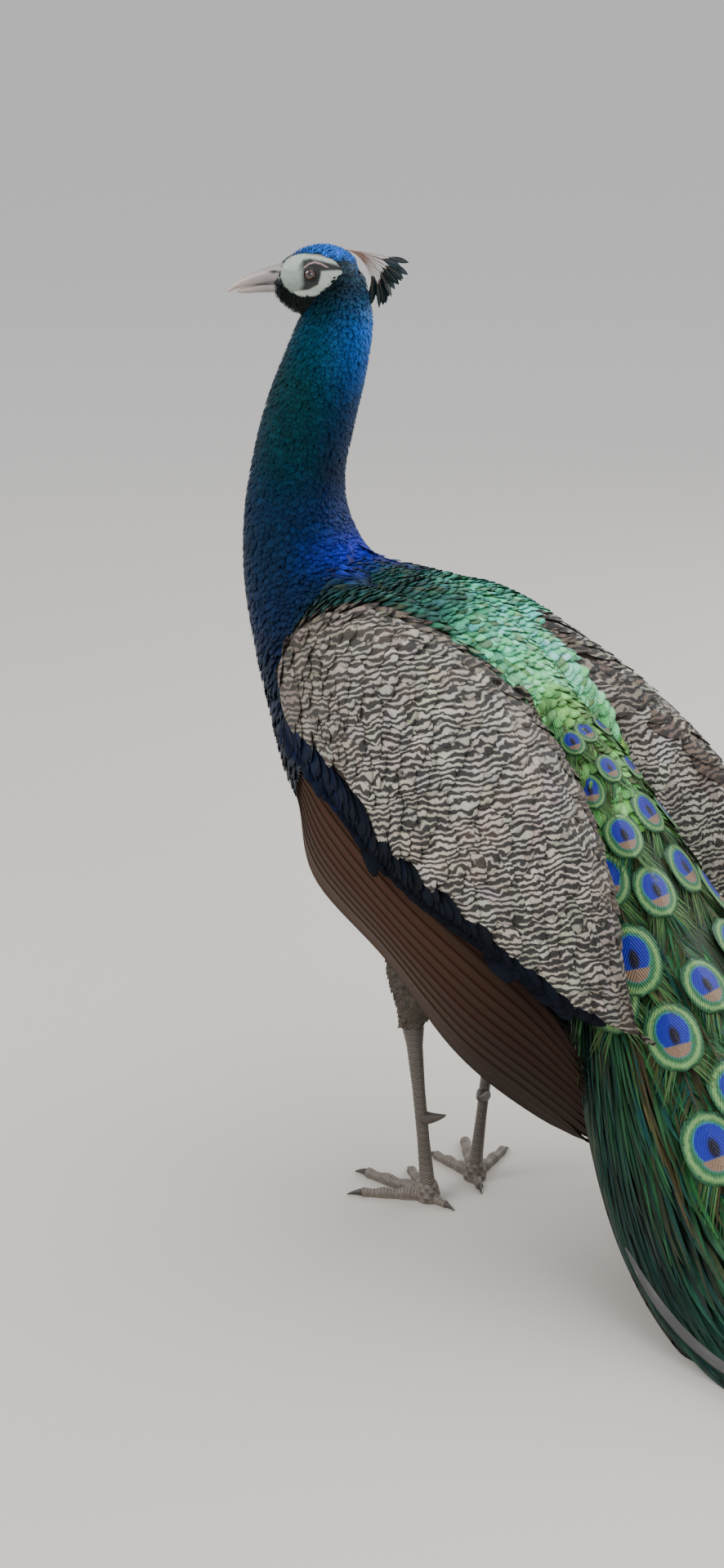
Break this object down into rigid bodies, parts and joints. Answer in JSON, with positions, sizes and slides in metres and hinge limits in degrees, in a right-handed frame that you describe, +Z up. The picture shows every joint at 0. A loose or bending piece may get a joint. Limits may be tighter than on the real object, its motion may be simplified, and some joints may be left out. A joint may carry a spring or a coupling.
{
  "type": "standing peacock model",
  "caption": "Life-size standing peafowl cock with drooped wings and a folded train resting on the floor, a still display model.",
  "frame": {"origin": "centre of the bounding box on the floor plane, below the rear of the train's root", "axes": "+X from the bill towards the train's tip, +Y towards the bird's right side, +Z up"},
  "size_m": [1.6179, 0.472, 0.8635],
  "materials": {
    "blue_plumage": "short iridescent blue and teal body feathers",
    "green_plumage": "iridescent green train feathers with eyespots",
    "barred_plumage": "matte cream and black-brown barred wing feathers",
    "chestnut_plumage": "smooth chestnut flight feathers",
    "brown_plumage": "stiff grey-brown tail feathers",
    "grey_down": "loose buff-grey down",
    "horn": "satin pale horn",
    "scaled_skin": "dry grey-brown scutes",
    "claw": "satin dark horn",
    "eye": "wet dark brown"
  },
  "bodies": {
    "root": {"head": "blue_plumage", "neck_upper": "blue_plumage", "neck_lower": "blue_plumage", "trunk": "blue_plumage", "crest": "green_plumage", "bill_upper": "horn", "bill_lower": "horn", "eye_left": "eye", "eye_right": "eye", "wing_left": "barred_plumage", "wing_right": "barred_plumage", "primaries_left": "chestnut_plumage", "primaries_right": "chestnut_plumage", "thigh_left": "grey_down", "thigh_right": "grey_down", "vent": "grey_down", "shank_left": "scaled_skin", "shank_right": "scaled_skin", "foot_left": "scaled_skin", "foot_right": "scaled_skin", "claw_left_middle": "claw", "claw_left_inner": "claw", "claw_left_outer": "claw", "claw_left_back": "claw", "claw_right_middle": "claw", "claw_right_inner": "claw", "claw_right_outer": "claw", "claw_right_back": "claw", "tail": "brown_plumage", "train_root": "green_plumage", "train_mid": "green_plumage", "train_end": "green_plumage"}
  },
  "joints": []
}
